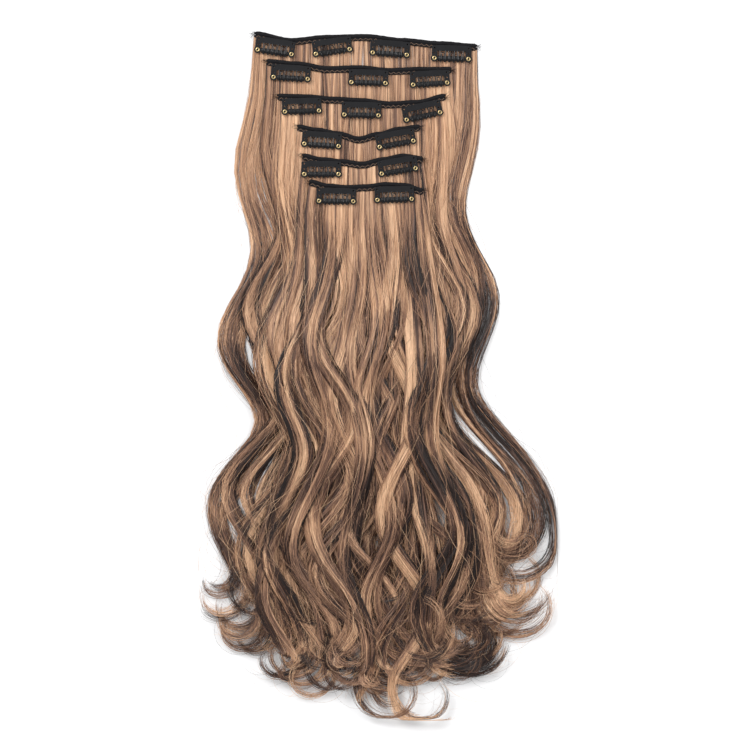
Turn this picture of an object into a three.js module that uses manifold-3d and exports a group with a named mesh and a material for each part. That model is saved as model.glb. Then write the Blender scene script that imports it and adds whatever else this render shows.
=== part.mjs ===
import * as THREE from 'three';
import { mergeVertices } from 'three/addons/utils/BufferGeometryUtils.js';
import Module from 'manifold-3d';

const wasm = await Module();
wasm.setup();

// Clip-in hairpiece of six wefts laid over each other, roots towards +Y, in millimetres

// Fits
const clearance = 0.3;

// Bands
const bandHeight = 6.4;
const rollHeight = 3.4;
const rollThickness = 1.5;
const hemThickness = 0.9;
const bandRise = 6;
const bandStations = 6;
const widestBand = 201.6;
const stackDrop = 133.2;

// Hair
const hairFall = 494;
const spread = 310;
const rootThickness = 1.6;
const bodyThickness = 4.2;
const tipThickness = 0.9;
const swellRun = 110;
const taperRun = 150;
const waveLength = 180;
const waveSwing = 16;
const waveStart = 95;
const waveGrowth = 210;
const curlRadius = 24;
const rowStep = 33;
const firstRow = 3;
const driftDelay = 3.5;
const rowMargin = 0.35;
const curlStations = 5;
const slopeRun = 1;

// Shares of a lock's own pitch, thickness or radius
const rootWidth = 1.06;
const runWidth = 0.95;
const fanWidth = 1.2;
const tipWidth = 0.42;
const curlTightening = 0.5;
const lowLock = { lift: 0.1, height: 0.86 };

// Clips
const eyeletSpacing = 30.8;
const eyeletDrop = 15.4;
const eyeletDiameter = 4.3;
const eyeletStand = 0.5;
const earWidth = 5;
const earEndDiameter = 6.4;
const plateThickness = 0.8;
const barHeight = 5.5;
const barTop = 12;
const barArch = 0.9;
const barArchRun = 18;
const teeth = 6;
const toothPitch = 3.94;
const toothWidth = 2;
const toothCrest = 1.1;
const toothCrestReach = 0.9;
const toothReach = 3.4;
const toothDip = 0.1;
const toothRoot = 1;
const toothRootInset = 0.2;
const tubeLength = 24.4;
const tubeHeight = 4.7;
const tubeThickness = 2.4;
const stripWidth = 2.6;
const stripThickness = 0.6;

const roundSides = 8;
const endSides = 5;
const eyeletSides = 6;

// Left and width: shares of widestBand. Drop: share of stackDrop, down to a band's own line. Rise:
// height of the top edge over that line at even steps from the left end, as shares of bandRise.
// Full: growth of a lock's width down to its foot. At: place of a clip along the band, as a share
// of its width. Foot, fall, swing, bow and coil: shares of half the spread, hairFall, waveSwing and
// curlRadius. Shift and pace: a lock's own start and length of its waves, as shares of waveLength,
// and pace is 1 where a row has none
const weftTable = [
  {
    left: -0.4975, width: 1, drop: 0, full: 1,
    rise: [0.9, -0.12, 0.36, 0.47, -0.13, -0.6, -1],
    clips: [
      { at: 0.092, tilt: -7.9 },
      { at: 0.353, tilt: 8 },
      { at: 0.608, tilt: -4 },
      { at: 0.884, tilt: -1.8 },
    ],
    locks: [
      {
        span: 0.09, foot: -0.76, fall: 0.987, swing: -0.9, shift: 0.06,
        pace: 0.9, bow: -0.6, curl: -170, coil: 1.05,
      },
      {
        span: 0.13, foot: -0.482, fall: 1, swing: -0.6, shift: 0.02,
        pace: 0.92, bow: -0.5, curl: -200, coil: 0.9,
      },
      { span: 0.5, foot: -0.041, fall: 0.942, swing: -0.3, shift: 0, bow: 0, curl: 40, coil: 1 },
      { span: 0.14, foot: 0.61, fall: 0.969, swing: 0.8, shift: -0.15, bow: 0, curl: 200, coil: 0.9 },
      {
        span: 0.14, foot: 0.94, fall: 0.905, swing: 0.85, shift: -0.24,
        pace: 1.02, bow: -0.4, curl: -210, coil: 1.4,
      },
    ],
  },
  {
    left: -0.442, width: 0.8304, drop: 0.1892, full: 1,
    rise: [0.9, 0.51, -0.18, -0.05, -0.48, -0.3, -0.3],
    clips: [
      { at: 0.131, tilt: -3.5 },
      { at: 0.55, tilt: -1.7 },
      { at: 0.883, tilt: 3.5 },
    ],
    locks: [
      {
        span: 0.12, foot: -0.72, fall: 0.966, swing: -1, shift: -0.05,
        pace: 0.9, bow: 0, curl: 150, coil: 0.8,
      },
      { span: 0.14, foot: -0.407, fall: 0.975, swing: -0.8, shift: 0.05, bow: 0, curl: -190, coil: 0.9 },
      { span: 0.46, foot: -0.029, fall: 0.911, swing: -0.3, shift: 0, bow: 0, curl: -40, coil: 1 },
      { span: 0.14, foot: 0.523, fall: 0.947, swing: 0.8, shift: -0.1, bow: 0, curl: 200, coil: 0.9 },
      { span: 0.14, foot: 0.8, fall: 0.938, swing: 0.9, shift: -0.2, bow: 0, curl: 200, coil: 1.2 },
    ],
  },
  {
    left: -0.3929, width: 0.7545, drop: 0.4054, full: 1,
    rise: [0.45, 0.35, 0, -0.23, -0.72, -0.48, 0.45],
    clips: [
      { at: 0.147, tilt: 1.8 },
      { at: 0.499, tilt: -1.3 },
      { at: 0.866, tilt: 12.6 },
    ],
    locks: [
      { span: 0.13, foot: -0.598, fall: 0.942, swing: -0.7, shift: 0.04, bow: 0, curl: -180, coil: 0.8 },
      { span: 0.16, foot: -0.331, fall: 0.96, swing: -0.9, shift: 0, bow: 0, curl: 160, coil: 0.8 },
      { span: 0.42, foot: 0, fall: 0.905, swing: -0.3, shift: 0, bow: 0, curl: 50, coil: 1 },
      { span: 0.15, foot: 0.494, fall: 0.942, swing: 0.8, shift: -0.06, bow: 0, curl: 190, coil: 0.9 },
      { span: 0.14, foot: 0.772, fall: 0.933, swing: 1, shift: -0.15, bow: 0.2, curl: 190, coil: 1.2 },
    ],
  },
  {
    left: -0.3036, width: 0.5491, drop: 0.6216, full: 1,
    rise: [0.6, 0.1, -0.42, -1.2, -0.51, 0.26, 0.6],
    clips: [
      { at: 0.198, tilt: -4.2 },
      { at: 0.809, tilt: 10.5 },
    ],
    locks: [
      { span: 0.18, foot: -0.563, fall: 0.922, swing: -1, shift: 0.03, bow: -0.4, curl: -170, coil: 0.7 },
      { span: 0.2, foot: -0.331, fall: 0.949, swing: -0.9, shift: -0.06, bow: -0.2, curl: 160, coil: 0.8 },
      { span: 0.24, foot: -0.058, fall: 0.94, swing: -0.5, shift: 0.14, bow: 0, curl: -170, coil: 0.8 },
      { span: 0.2, foot: 0.273, fall: 0.94, swing: 0.8, shift: -0.1, bow: 0.2, curl: 170, coil: 0.9 },
      { span: 0.18, foot: 0.726, fall: 0.895, swing: 1, shift: -0.1, bow: 0.4, curl: 170, coil: 1 },
    ],
  },
  {
    left: -0.2812, width: 0.5402, drop: 0.8176, full: 1.1,
    rise: [0.6, 0, -0.3, -0.65, 0, 0.54, 0.15],
    clips: [
      { at: 0.16, tilt: 0 },
      { at: 0.798, tilt: 9.2 },
    ],
    locks: [
      { span: 0.18, foot: -0.494, fall: 0.896, swing: -1, shift: 0.02, bow: -0.6, curl: -170, coil: 0.7 },
      { span: 0.2, foot: -0.36, fall: 0.947, swing: -0.9, shift: 0.08, bow: -0.3, curl: -150, coil: 0.7 },
      { span: 0.24, foot: 0, fall: 0.933, swing: -0.5, shift: -0.1, bow: 0, curl: 170, coil: 0.8 },
      { span: 0.2, foot: 0.319, fall: 0.924, swing: 0.8, shift: 0.08, bow: 0.3, curl: 150, coil: 0.9 },
      { span: 0.18, foot: 0.598, fall: 0.887, swing: 1, shift: -0.08, bow: 0.6, curl: 170, coil: 1 },
    ],
  },
  {
    left: -0.25, width: 0.5089, drop: 1, full: 1.2,
    rise: [0.75, 0.08, -0.15, -0.03, 0.3, 0.18, -0.6],
    clips: [
      { at: 0.238, tilt: -0.8 },
      { at: 0.75, tilt: 1.8 },
    ],
    locks: [
      { span: 0.16, foot: -0.54, fall: 0.86, swing: -1, shift: 0.05, bow: -0.8, curl: -160, coil: 0.6 },
      { span: 0.17, foot: -0.319, fall: 0.838, swing: -1, shift: -0.06, bow: -0.6, curl: 150, coil: 0.8 },
      { span: 0.17, foot: -0.064, fall: 0.905, swing: -0.7, shift: 0.12, bow: -0.3, curl: 150, coil: 0.8 },
      { span: 0.17, foot: 0.134, fall: 0.853, swing: 0.7, shift: -0.12, bow: 0.3, curl: 140, coil: 1.2 },
      { span: 0.17, foot: 0.348, fall: 0.885, swing: 0.9, shift: 0.08, bow: 0.6, curl: 130, coil: 1.2 },
      { span: 0.16, foot: 0.563, fall: 0.856, swing: 1, shift: -0.1, bow: 0.8, curl: 160, coil: 1 },
    ],
  },
];

const wefts = weftTable.map(({ left, width, drop, ...weft }) => ({
  left: left * widestBand,
  width: width * widestBand,
  drop: drop * stackDrop,
  ...weft,
}));

const lowestClip = stackDrop + eyeletDrop + toothReach;

const hairMaterial = new THREE.MeshStandardMaterial({ color: 0xb98a63, roughness: 0.55, metalness: 0 });
const bandMaterial = new THREE.MeshStandardMaterial({ color: 0x1d1c20, roughness: 0.8, metalness: 0 });
const plateMaterial = new THREE.MeshStandardMaterial({ color: 0x17171a, roughness: 0.3, metalness: 0.4 });
const tubeMaterial = new THREE.MeshStandardMaterial({ color: 0x1b1b1e, roughness: 0.45, metalness: 0 });
const rivetMaterial = new THREE.MeshStandardMaterial({ color: 0xd9c48f, roughness: 0.3, metalness: 0.9 });

// Reads a closed three.js geometry as a solid that can be joined and cut
function solidOf(geometry) {
  const bare = geometry.clone();
  bare.deleteAttribute('normal');
  bare.deleteAttribute('uv');
  const merged = mergeVertices(bare, 1e-4);
  return new wasm.Manifold(new wasm.Mesh({
    numProp: 3,
    vertProperties: new Float32Array(merged.attributes.position.array),
    triVerts: new Uint32Array(merged.index.array),
  }));
}

function geometryOf(solid) {
  const mesh = solid.getMesh();
  const geometry = new THREE.BufferGeometry();
  geometry.setAttribute('position', new THREE.BufferAttribute(mesh.vertProperties, 3));
  geometry.setIndex(new THREE.BufferAttribute(mesh.triVerts, 1));
  const faceted = geometry.toNonIndexed();
  faceted.computeVertexNormals();
  return faceted;
}

function joined(geometries) {
  const solids = geometries.map(solidOf);
  return geometryOf(solids.reduce((whole, piece) => whole.add(piece)));
}

// Moves each corner of a three.js shape to the place that a function gives it
function reshaped(geometry, place) {
  const corners = geometry.getAttribute('position');
  const corner = new THREE.Vector3();
  for (let i = 0; i < corners.count; i += 1) {
    corner.fromBufferAttribute(corners, i);
    place(corner);
    corners.setXYZ(i, corner.x, corner.y, corner.z);
  }
  geometry.computeVertexNormals();
  return geometry;
}

function rampUp(value) {
  return Math.min(Math.max(value, 0), 1);
}

function easeUp(value) {
  const share = rampUp(value);
  return share * share * (3 - 2 * share);
}

// Height of a band's top edge, at a share of its width
function bandEdge(weft, share) {
  const place = rampUp(share) * (weft.rise.length - 1);
  const step = Math.min(Math.floor(place), weft.rise.length - 2);
  const rise = THREE.MathUtils.lerp(weft.rise[step], weft.rise[step + 1], easeUp(place - step));
  return rise * bandRise - weft.drop;
}

// Hair thickness of one weft at a height: thin under the clips, full in the waves, thin at the ends
function fullness(weft, y) {
  const swell = rampUp((-y - lowestClip - rowStep) / swellRun);
  const swollen = THREE.MathUtils.lerp(rootThickness, bodyThickness, swell);
  const spent = rampUp((-y - weft.drop - hairFall + taperRun) / taperRun);
  return THREE.MathUtils.lerp(swollen, tipThickness, spent);
}

// The same, straight from one row to the next, so that each weft lies flat on the one below
function hairThickness(weft, y) {
  const row = Math.floor(-y / rowStep);
  const above = fullness(weft, -row * rowStep);
  const below = fullness(weft, -(row + 1) * rowStep);
  return THREE.MathUtils.lerp(above, below, -y / rowStep - row);
}

// Height that one weft lies at, on the hair of the wefts under it
function layerBase(index, y) {
  const under = wefts.slice(0, index);
  return under.reduce((height, weft) => height + hairThickness(weft, y) + clearance, 0);
}

// Depths of a lock's sections below its root: at the rows that all the wefts share, then its foot
function sectionDepths(rootY, depth) {
  const depths = [0];
  const row = Math.max(Math.ceil(-rootY / rowStep + rowMargin), firstRow);
  for (let y = -row * rowStep; rootY - y < depth - rowMargin * rowStep; y -= rowStep) {
    depths.push(rootY - y);
  }
  depths.push(depth);
  return depths;
}

// Centre line of a lock: waves from the band down, then one curl that tightens
function lockStations(weft, lock, order) {
  const before = weft.locks.slice(0, order).reduce((sum, { span }) => sum + span, 0);
  const rootShare = before + lock.span / 2;
  const rootX = weft.left + rootShare * weft.width;
  const rootY = bandEdge(weft, rootShare) - rollHeight;
  const pitch = lock.span * weft.width;
  const depth = lock.fall * hairFall;
  const pace = lock.pace ?? 1;
  const waveX = (down) => {
    const turns = (down - rootY - waveStart) / (waveLength * pace) - lock.shift;
    const swing = lock.swing * waveSwing * easeUp(down / waveGrowth);
    const drift = THREE.MathUtils.lerp(rootX, (lock.foot * spread) / 2, (down / depth) ** driftDelay);
    const bow = lock.bow * waveSwing * Math.sin((Math.PI * down) / depth);
    return drift + bow + swing * Math.cos(2 * Math.PI * turns);
  };
  const stations = sectionDepths(rootY, depth).map((down, row) => {
    const heading = row === 0 ? 0 : Math.atan2(waveX(down) - waveX(down - slopeRun), slopeRun);
    const fan = row < 2 ? rootWidth : THREE.MathUtils.lerp(runWidth, fanWidth, down / depth);
    const width = fan * pitch * THREE.MathUtils.lerp(1, weft.full, down / depth);
    return { x: waveX(down), y: rootY - down, heading, width, level: true };
  });
  const last = stations.at(-1);
  const turn = THREE.MathUtils.degToRad(lock.curl) / curlStations;
  let { x, y, heading } = last;
  for (let i = 1; i <= curlStations; i += 1) {
    const share = i / curlStations;
    const radius = curlRadius * lock.coil * (1 - curlTightening * share);
    const step = radius * Math.abs(turn);
    x += step * Math.sin(heading + turn / 2);
    y -= step * Math.cos(heading + turn / 2);
    heading += turn;
    const width = last.width * THREE.MathUtils.lerp(1, tipWidth, Math.sqrt(share));
    stations.push({ x, y, heading, width, level: false });
  }
  return stations;
}

// A lock with a flat underside and a crest: level sections down the waves, square ones in the curl
function lockGeometry(weft, index, lock, order) {
  const stations = lockStations(weft, lock, order);
  const low = order % 2 === 1;
  const steps = stations.length - 1;
  const prism = new THREE.CylinderGeometry(1, 1, 1, 3, steps);
  const side = Math.sin(Math.PI / 3);
  return reshaped(prism, (corner) => {
    const row = Math.round((0.5 - corner.y) * steps);
    const { x: middleX, y: middleY, heading, width, level } = stations[row];
    const crest = corner.z > 0.5;
    const across = (Math.sign(Math.round(corner.x / side)) * width) / 2;
    const x = middleX + across * (level ? 1 : Math.cos(heading));
    const rootY = bandEdge(weft, (x - weft.left) / weft.width) - rollHeight;
    const y = row === 0 ? rootY : middleY + (level ? 0 : across * Math.sin(heading));
    const height = hairThickness(weft, y) * (low ? lowLock.height : 1);
    corner.set(x, y, layerBase(index, y) + (crest ? height : low * lowLock.lift));
  });
}

function hairGeometry(weft, index) {
  return joined(weft.locks.map((lock, order) => lockGeometry(weft, index, lock, order)));
}

// A rolled seam along the top edge with a flat stitched hem below it, both over the hair roots
function bandGeometry(weft, index) {
  const box = new THREE.BoxGeometry(1, 1, 1, bandStations, 2, 1);
  return reshaped(box, (corner) => {
    const share = corner.x + 0.5;
    const row = Math.round((0.5 - corner.y) * 2);
    const x = weft.left + share * weft.width;
    const y = bandEdge(weft, share) - [0, rollHeight, bandHeight][row];
    const thickness = [rollThickness, rollThickness, hemThickness][row];
    const underside = layerBase(index, y) + rootThickness + clearance;
    corner.set(x, y, underside + (corner.z > 0 ? thickness : 0));
  });
}

function extruded(shape, depth) {
  return new THREE.ExtrudeGeometry(shape, { depth, bevelEnabled: false, curveSegments: endSides });
}

// Outline with even sides whose flats lie at the given width and height
function evenSided(outline, x, y, width, height, sides) {
  const reach = 1 / Math.cos(Math.PI / sides) / 2;
  for (let i = 0; i < sides; i += 1) {
    const angle = ((2 * i + 1) * Math.PI) / sides;
    const corner = [x + Math.cos(angle) * width * reach, y + Math.sin(angle) * height * reach];
    if (i === 0) outline.moveTo(...corner);
    else outline.lineTo(...corner);
  }
  outline.closePath();
  return outline;
}

// Bar with an ear down each side, cut for the two eyelets
function plateShape() {
  const half = eyeletSpacing / 2;
  const endAngle = Math.acos(earWidth / earEndDiameter);
  const endHeight = (Math.sin(endAngle) * earEndDiameter) / 2;
  const shape = new THREE.Shape();
  shape.moveTo(-half - earWidth / 2, endHeight);
  shape.absarc(-half, 0, earEndDiameter / 2, Math.PI - endAngle, 2 * Math.PI + endAngle, false);
  shape.lineTo(-half + earWidth / 2, barTop - barHeight);
  shape.lineTo(half - earWidth / 2, barTop - barHeight);
  shape.lineTo(half - earWidth / 2, endHeight);
  shape.absarc(half, 0, earEndDiameter / 2, Math.PI - endAngle, 2 * Math.PI + endAngle, false);
  shape.lineTo(half + earWidth / 2, barTop - barArch);
  shape.lineTo(barArchRun / 2, barTop);
  shape.lineTo(-barArchRun / 2, barTop);
  shape.lineTo(-half - earWidth / 2, barTop - barArch);
  shape.closePath();
  const hole = eyeletDiameter + 2 * clearance;
  shape.holes.push(evenSided(new THREE.Path(), -half, 0, hole, hole, eyeletSides));
  shape.holes.push(evenSided(new THREE.Path(), half, 0, hole, hole, eyeletSides));
  return shape;
}

// Side view of a tooth: out of the bar, up over the tube and down past it
function toothGeometry(x) {
  const rootY = barTop - barHeight + toothRoot;
  const shape = new THREE.Shape();
  shape.moveTo(rootY, toothRootInset);
  shape.lineTo(rootY, plateThickness - toothRootInset);
  shape.lineTo(rootY - toothRoot, plateThickness - toothRootInset);
  shape.lineTo(-toothCrestReach, toothCrest + plateThickness);
  shape.lineTo(-toothReach, plateThickness - toothDip);
  shape.lineTo(-toothReach, -toothDip);
  shape.lineTo(-toothCrestReach, toothCrest);
  shape.lineTo(rootY - toothRoot, toothRootInset);
  shape.closePath();
  const geometry = extruded(shape, toothWidth);
  const alongBar = new THREE.Matrix4().makeBasis(
    new THREE.Vector3(0, 1, 0),
    new THREE.Vector3(0, 0, 1),
    new THREE.Vector3(1, 0, 0),
  );
  geometry.applyMatrix4(alongBar);
  geometry.translate(x - toothWidth / 2, 0, 0);
  return geometry;
}

function plateGeometry() {
  const pieces = [extruded(plateShape(), plateThickness)];
  for (let i = 0; i < teeth; i += 1) {
    pieces.push(toothGeometry((i - (teeth - 1) / 2) * toothPitch));
  }
  return joined(pieces);
}

// Strip that the tube is sleeved on, riveted under both ears by an eyelet
function bowGeometry() {
  const strip = new THREE.BoxGeometry(eyeletSpacing + stripWidth, stripWidth, stripThickness);
  const bottom = -clearance - stripThickness;
  strip.translate(0, 0, bottom + stripThickness / 2);
  const height = plateThickness + eyeletStand - bottom;
  const eyelets = [-1, 1].map((side) => {
    const x = (side * eyeletSpacing) / 2;
    const round = evenSided(new THREE.Shape(), x, 0, eyeletDiameter, eyeletDiameter, eyeletSides);
    return extruded(round, height).translate(0, 0, bottom);
  });
  return joined([strip, ...eyelets]);
}

function tubeGeometry() {
  const shape = evenSided(new THREE.Shape(), 0, 0, tubeHeight, tubeThickness, roundSides);
  const halfWidth = stripWidth / 2 + clearance;
  const halfThickness = stripThickness / 2 + clearance;
  const bore = new THREE.Path();
  bore.moveTo(-halfWidth, -halfThickness);
  bore.lineTo(halfWidth, -halfThickness);
  bore.lineTo(halfWidth, halfThickness);
  bore.lineTo(-halfWidth, halfThickness);
  bore.closePath();
  shape.holes.push(bore);
  const geometry = extruded(shape, tubeLength);
  const alongStrip = new THREE.Matrix4().makeBasis(
    new THREE.Vector3(0, 1, 0),
    new THREE.Vector3(0, 0, 1),
    new THREE.Vector3(1, 0, 0),
  );
  geometry.applyMatrix4(alongStrip);
  geometry.translate(-tubeLength / 2, 0, -clearance - stripThickness / 2);
  return geometry;
}

function namedMesh(name, geometry, material) {
  const mesh = new THREE.Mesh(geometry, material);
  mesh.name = name;
  return mesh;
}

const clipPieces = [
  { name: 'plate', geometry: plateGeometry(), material: plateMaterial },
  { name: 'tube', geometry: tubeGeometry(), material: tubeMaterial },
  { name: 'bow', geometry: bowGeometry(), material: rivetMaterial },
];

function clipGroup(weft, index, clip, order) {
  const group = new THREE.Group();
  clipPieces.forEach(({ name, geometry, material }) => {
    group.add(namedMesh(`clip_${index + 1}_${order + 1}_${name}`, geometry, material));
  });
  const x = weft.left + clip.at * weft.width;
  const y = bandEdge(weft, clip.at) - eyeletDrop;
  const bandTop = layerBase(index, y) + rootThickness + clearance + rollThickness;
  group.position.set(x, y, bandTop + clearance);
  group.rotation.z = THREE.MathUtils.degToRad(clip.tilt);
  return group;
}

const hairpiece = new THREE.Group();
wefts.forEach((weft, index) => {
  const group = new THREE.Group();
  group.add(namedMesh(`weft_${index + 1}_band`, bandGeometry(weft, index), bandMaterial));
  group.add(namedMesh(`weft_${index + 1}_hair`, hairGeometry(weft, index), hairMaterial));
  weft.clips.forEach((clip, order) => group.add(clipGroup(weft, index, clip, order)));
  hairpiece.add(group);
});

// Origin under the middle of the piece, on the surface that it lies on
const extent = new THREE.Box3().setFromObject(hairpiece, true);
const middle = extent.getCenter(new THREE.Vector3());
hairpiece.position.set(-middle.x, -middle.y, -extent.min.z);

const part = new THREE.Group();
part.add(hairpiece);

export default part;
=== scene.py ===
import math

import bmesh
import bpy
import numpy as np
from mathutils import Matrix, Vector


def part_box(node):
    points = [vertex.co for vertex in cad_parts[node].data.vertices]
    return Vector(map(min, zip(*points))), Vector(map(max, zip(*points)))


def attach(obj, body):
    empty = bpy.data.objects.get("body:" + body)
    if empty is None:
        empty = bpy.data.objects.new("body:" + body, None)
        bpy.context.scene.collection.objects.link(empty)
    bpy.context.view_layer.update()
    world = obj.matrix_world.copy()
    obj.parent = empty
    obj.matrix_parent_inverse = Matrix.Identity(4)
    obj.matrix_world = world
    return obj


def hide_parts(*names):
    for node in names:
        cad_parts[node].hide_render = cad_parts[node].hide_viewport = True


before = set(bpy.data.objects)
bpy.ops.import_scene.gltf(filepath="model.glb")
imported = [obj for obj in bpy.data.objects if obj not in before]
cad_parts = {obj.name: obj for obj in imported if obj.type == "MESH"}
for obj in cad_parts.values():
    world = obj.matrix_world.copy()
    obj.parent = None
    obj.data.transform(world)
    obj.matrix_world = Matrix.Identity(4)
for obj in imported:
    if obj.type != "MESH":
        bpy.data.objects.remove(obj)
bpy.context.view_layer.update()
mm = 0.001  # everything below is worked out in millimetres, then made in metres
dice = np.random.default_rng(11)

# the stack, as the solids have it
stack = {
    "clearance": 0.3, "bandRise": 6.0, "rollHeight": 3.4, "bandHeight": 6.4, "rollThickness": 1.5,
    "hairFall": 494.0, "spread": 310.0, "rootThickness": 1.6, "bodyThickness": 4.2, "tipThickness": 0.9,
    "swellRun": 110.0, "taperRun": 150.0, "swellFrom": 185.0, "widestBand": 201.6, "stackDrop": 133.2,
    "waveLength": 180.0, "waveSwing": 16.0, "waveStart": 95.0, "waveGrowth": 210.0, "driftDelay": 3.5,
    "curlRadius": 24.0, "curlTightening": 0.5,
}

# rise: the band's top edge over its own line, in shares of bandRise
# clips: where each one sits along the band, and its tilt in degrees
# locks: span is a share of the band, foot of half the spread, fall of hairFall, swing and bow of
# waveSwing, shift and pace of waveLength, full of its own width and coil of curlRadius; curl is in
# degrees, and tone is how light the lock is, 0 to 1
lockColumns = ("span", "foot", "fall", "swing", "shift", "pace", "bow", "full", "curl", "coil", "tone")
wefts = [
    {"left": -0.4975, "width": 1.0, "drop": 0.0,
     "rise": [0.9, -0.12, 0.36, 0.47, -0.13, -0.6, -1.0],
     "clips": [(0.092, -7.9), (0.353, 8.0), (0.608, -4.0), (0.884, -1.8)],
     "locks": [
         (0.09, -0.76, 0.987, -0.9, 0.06, 0.9, -0.6, 1.0, -170, 1.05, 0.56),
         (0.13, -0.482, 1.0, -0.6, 0.02, 0.92, -0.5, 1.0, -200, 0.9, 0.4),
         (0.5, -0.041, 0.942, -0.3, 0.0, 1.0, 0.0, 1.0, 140, 0.8, 0.5),
         (0.14, 0.61, 0.969, 0.8, -0.15, 1.0, 0.0, 1.0, 200, 0.9, 0.45),
         (0.14, 0.94, 0.905, 0.85, -0.24, 1.02, -0.4, 1.0, -210, 1.4, 0.5),
     ]},
    {"left": -0.442, "width": 0.8304, "drop": 0.1892,
     "rise": [0.9, 0.51, -0.18, -0.05, -0.48, -0.3, -0.3],
     "clips": [(0.131, -3.5), (0.55, -1.7), (0.883, 3.5)],
     "locks": [
         (0.12, -0.72, 0.966, -1.0, -0.05, 0.9, 0.0, 1.0, 150, 0.8, 0.45),
         (0.14, -0.407, 0.975, -0.8, 0.05, 1.0, 0.0, 1.0, -190, 0.9, 0.5),
         (0.46, -0.029, 0.911, -0.3, 0.0, 1.0, 0.0, 1.0, -140, 0.8, 0.5),
         (0.14, 0.523, 0.947, 0.8, -0.1, 1.0, 0.0, 1.0, 200, 0.9, 0.35),
         (0.14, 0.8, 0.938, 0.9, -0.2, 1.0, 0.0, 1.0, 200, 1.2, 0.6),
     ]},
    {"left": -0.3929, "width": 0.7545, "drop": 0.4054,
     "rise": [0.45, 0.35, 0.0, -0.23, -0.72, -0.48, 0.45],
     "clips": [(0.147, 1.8), (0.499, -1.3), (0.866, 12.6)],
     "locks": [
         (0.13, -0.598, 0.942, -0.7, 0.04, 1.0, 0.0, 1.0, -180, 0.8, 0.55),
         (0.16, -0.331, 0.96, -0.9, 0.0, 1.0, 0.0, 1.0, 160, 0.8, 0.45),
         (0.42, 0.0, 0.905, -0.3, 0.0, 1.0, 0.0, 1.0, 150, 0.8, 0.5),
         (0.15, 0.494, 0.942, 0.8, -0.06, 1.0, 0.0, 1.0, 190, 0.9, 0.4),
         (0.14, 0.772, 0.933, 1.0, -0.15, 1.0, 0.2, 1.0, 190, 1.2, 0.6),
     ]},
    {"left": -0.3036, "width": 0.5491, "drop": 0.6216,
     "rise": [0.6, 0.1, -0.42, -1.2, -0.51, 0.26, 0.6],
     "clips": [(0.198, -4.2), (0.809, 10.5)],
     "locks": [
         (0.18, -0.563, 0.922, -1.0, 0.03, 1.0, -0.4, 1.0, -170, 0.7, 0.5),
         (0.2, -0.331, 0.949, -0.9, -0.06, 1.0, -0.2, 1.0, 160, 0.8, 0.55),
         (0.24, -0.058, 0.94, -0.5, 0.14, 1.0, 0.0, 1.0, -170, 0.8, 0.5),
         (0.2, 0.273, 0.94, 0.8, -0.1, 1.0, 0.2, 1.0, 170, 0.9, 0.5),
         (0.18, 0.726, 0.895, 1.0, -0.1, 1.0, 0.4, 1.0, 170, 1.0, 0.4),
     ]},
    {"left": -0.2812, "width": 0.5402, "drop": 0.8176,
     "rise": [0.6, 0.0, -0.3, -0.65, 0.0, 0.54, 0.15],
     "clips": [(0.16, 0.0), (0.798, 9.2)],
     "locks": [
         (0.18, -0.494, 0.896, -1.0, 0.02, 1.0, -0.6, 1.1, -170, 0.7, 0.45),
         (0.2, -0.36, 0.947, -0.9, 0.08, 1.0, -0.3, 1.1, -150, 0.7, 0.6),
         (0.24, 0.0, 0.933, -0.5, -0.1, 1.0, 0.0, 1.1, 170, 0.8, 0.5),
         (0.2, 0.319, 0.924, 0.8, 0.08, 1.0, 0.3, 1.1, 150, 0.9, 0.55),
         (0.18, 0.598, 0.887, 1.0, -0.08, 1.0, 0.6, 1.1, 170, 1.0, 0.2),
     ]},
    {"left": -0.25, "width": 0.5089, "drop": 1.0,
     "rise": [0.75, 0.08, -0.15, -0.03, 0.3, 0.18, -0.6],
     "clips": [(0.238, -0.8), (0.75, 1.8)],
     "locks": [
         (0.16, -0.54, 0.86, -1.0, 0.05, 1.0, -0.8, 1.2, -160, 0.6, 0.45),
         (0.17, -0.319, 0.838, -1.0, -0.06, 1.0, -0.6, 1.2, 150, 0.8, 0.66),
         (0.17, -0.064, 0.905, -0.7, 0.12, 1.0, -0.3, 1.2, 150, 0.8, 0.6),
         (0.17, 0.134, 0.853, 0.7, -0.12, 1.0, 0.3, 1.2, 140, 1.2, 0.5),
         (0.17, 0.348, 0.885, 0.9, 0.08, 1.0, 0.6, 1.2, 130, 1.2, 0.68),
         (0.16, 0.563, 0.856, 1.0, -0.1, 1.0, 0.8, 1.2, 160, 1.0, 0.5),
     ]},
]
for weft in wefts:
    weft["left"] *= stack["widestBand"]
    weft["width"] *= stack["widestBand"]
    weft["drop"] *= stack["stackDrop"]
    weft["locks"] = [dict(zip(lockColumns, lock)) for lock in weft["locks"]]
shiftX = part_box("weft_1_band")[0][0] / mm - wefts[0]["left"]
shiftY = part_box("weft_1_band")[1][1] / mm - wefts[0]["rise"][0] * stack["bandRise"]


def ease(value):
    share = np.clip(value, 0.0, 1.0)
    return share * share * (3 - 2 * share)


def ramp(value, start, run):  # 0 before the start, 1 after the run
    return ease((value - start) / run)


def blend(a, b, share):
    return a + (b - a) * share


def bandEdge(weft, share):
    steps = len(weft["rise"]) - 1
    place = np.clip(share, 0.0, 1.0) * steps
    step = np.minimum(np.floor(place), steps - 1).astype(int)
    rise = np.array(weft["rise"])
    return blend(rise[step], rise[step + 1], ease(place - step)) * stack["bandRise"] - weft["drop"]


def hairThickness(weft, y):
    s = stack
    swell = np.clip((-y - s["swellFrom"]) / s["swellRun"], 0, 1)
    swollen = blend(s["rootThickness"], s["bodyThickness"], swell)
    spent = np.clip((-y - weft["drop"] - s["hairFall"] + s["taperRun"]) / s["taperRun"], 0, 1)
    return blend(swollen, s["tipThickness"], spent)


def layerBase(index, y):
    return sum((hairThickness(under, y) + stack["clearance"] for under in wefts[:index]), 0.0 * y)


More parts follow.
